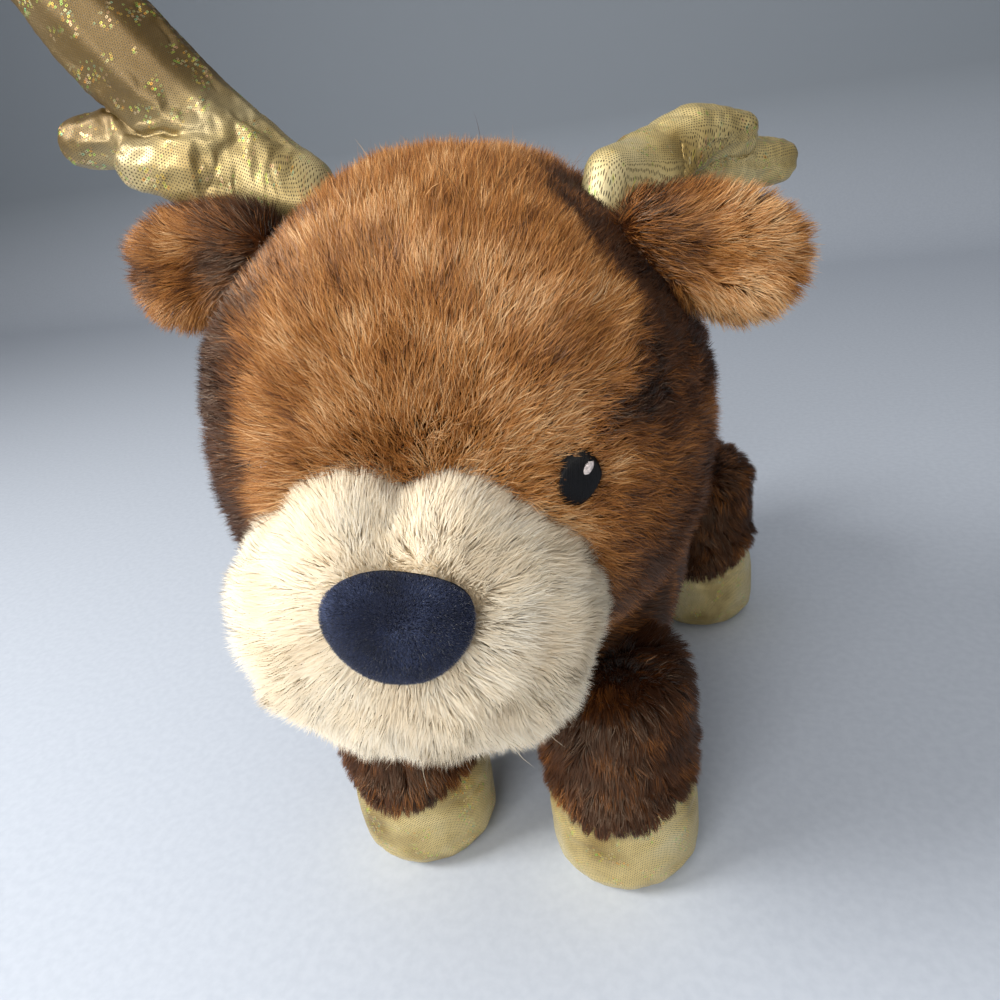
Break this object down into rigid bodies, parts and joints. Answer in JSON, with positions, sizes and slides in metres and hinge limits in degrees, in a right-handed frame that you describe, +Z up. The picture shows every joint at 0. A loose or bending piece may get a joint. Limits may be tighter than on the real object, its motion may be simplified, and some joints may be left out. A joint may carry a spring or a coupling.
{
  "type": "plush deer",
  "caption": "Standing plush deer in brown fur with a cream muzzle, navy nose, and antlers and hooves of gold foil-dot cloth.",
  "frame": {"origin": "centre of the bounding box, on the floor under the hooves", "axes": "+Z up, -Y the way the deer faces, +X its own left"},
  "size_m": [0.268, 0.3672, 0.3926],
  "materials": {
    "brown_fur": "long pile, brushed",
    "cream_fur": "long pile, fluffy",
    "gold_foil_cloth": "foil dots, shimmering",
    "navy_velour": "short pile, matt",
    "black_thread": "satin stitch",
    "pale_thread": "satin stitch",
    "fibre_fill": "loose fibre"
  },
  "bodies": {
    "toy": {"head_cover": "brown_fur", "body_cover": "brown_fur", "muzzle_cover": "cream_fur", "nose_patch": "navy_velour", "head_stuffing": "fibre_fill", "body_stuffing": "fibre_fill", "eye_left": "black_thread", "eye_glint_left": "pale_thread", "eye_right": "black_thread", "eye_glint_right": "pale_thread", "front_left_leg_cover": "brown_fur", "front_left_leg_stuffing": "fibre_fill", "front_left_hoof_cover": "gold_foil_cloth", "front_left_hoof_sole": "gold_foil_cloth", "front_right_leg_cover": "brown_fur", "front_right_leg_stuffing": "fibre_fill", "front_right_hoof_cover": "gold_foil_cloth", "front_right_hoof_sole": "gold_foil_cloth", "hind_left_leg_cover": "brown_fur", "hind_left_leg_stuffing": "fibre_fill", "hind_left_hoof_cover": "gold_foil_cloth", "hind_left_hoof_sole": "gold_foil_cloth", "hind_right_leg_cover": "brown_fur", "hind_right_leg_stuffing": "fibre_fill", "hind_right_hoof_cover": "gold_foil_cloth", "hind_right_hoof_sole": "gold_foil_cloth"},
    "ear_left": {"ear_left_front": "brown_fur", "ear_left_back": "brown_fur"},
    "ear_right": {"ear_right_front": "brown_fur", "ear_right_back": "brown_fur"},
    "antler_left": {"antler_left_cover": "gold_foil_cloth", "antler_left_stuffing": "fibre_fill"},
    "antler_right": {"antler_right_cover": "gold_foil_cloth", "antler_right_stuffing": "fibre_fill"},
    "tail": {"tail_top": "brown_fur", "tail_under": "brown_fur"}
  },
  "joints": [
    {"name": "ear_left_flop", "type": "hinge", "parent": "toy", "child": "ear_left", "pos_m": [0.07682, -0.06276, 0.25937], "axis": [0.5122, 0.0538, -0.8572], "range_deg": [-6, 25], "stiffness_Nm_per_rad": 0.02},
    {"name": "antler_left_lean", "type": "hinge", "parent": "toy", "child": "antler_left", "pos_m": [0.06865, -0.0425, 0.28248], "axis": [-0.9907, -0.1041, 0.0872], "range_deg": [-75, 4]},
    {"name": "ear_right_flop", "type": "hinge", "parent": "toy", "child": "ear_right", "pos_m": [-0.04603, -0.07567, 0.27018], "axis": [0.6525, 0.0686, 0.7547], "range_deg": [-6, 25], "stiffness_Nm_per_rad": 0.02},
    {"name": "antler_right_lean", "type": "hinge", "parent": "toy", "child": "antler_right", "pos_m": [-0.03835, -0.05375, 0.2919], "axis": [-0.9907, -0.1041, 0.0872], "range_deg": [-6, 70]},
    {"name": "tail_lift", "type": "hinge", "parent": "toy", "child": "tail", "pos_m": [0.01224, 0.14938, 0.128], "axis": [1, 0, 0], "range_deg": [-15, 20], "stiffness_Nm_per_rad": 0.01}
  ]
}
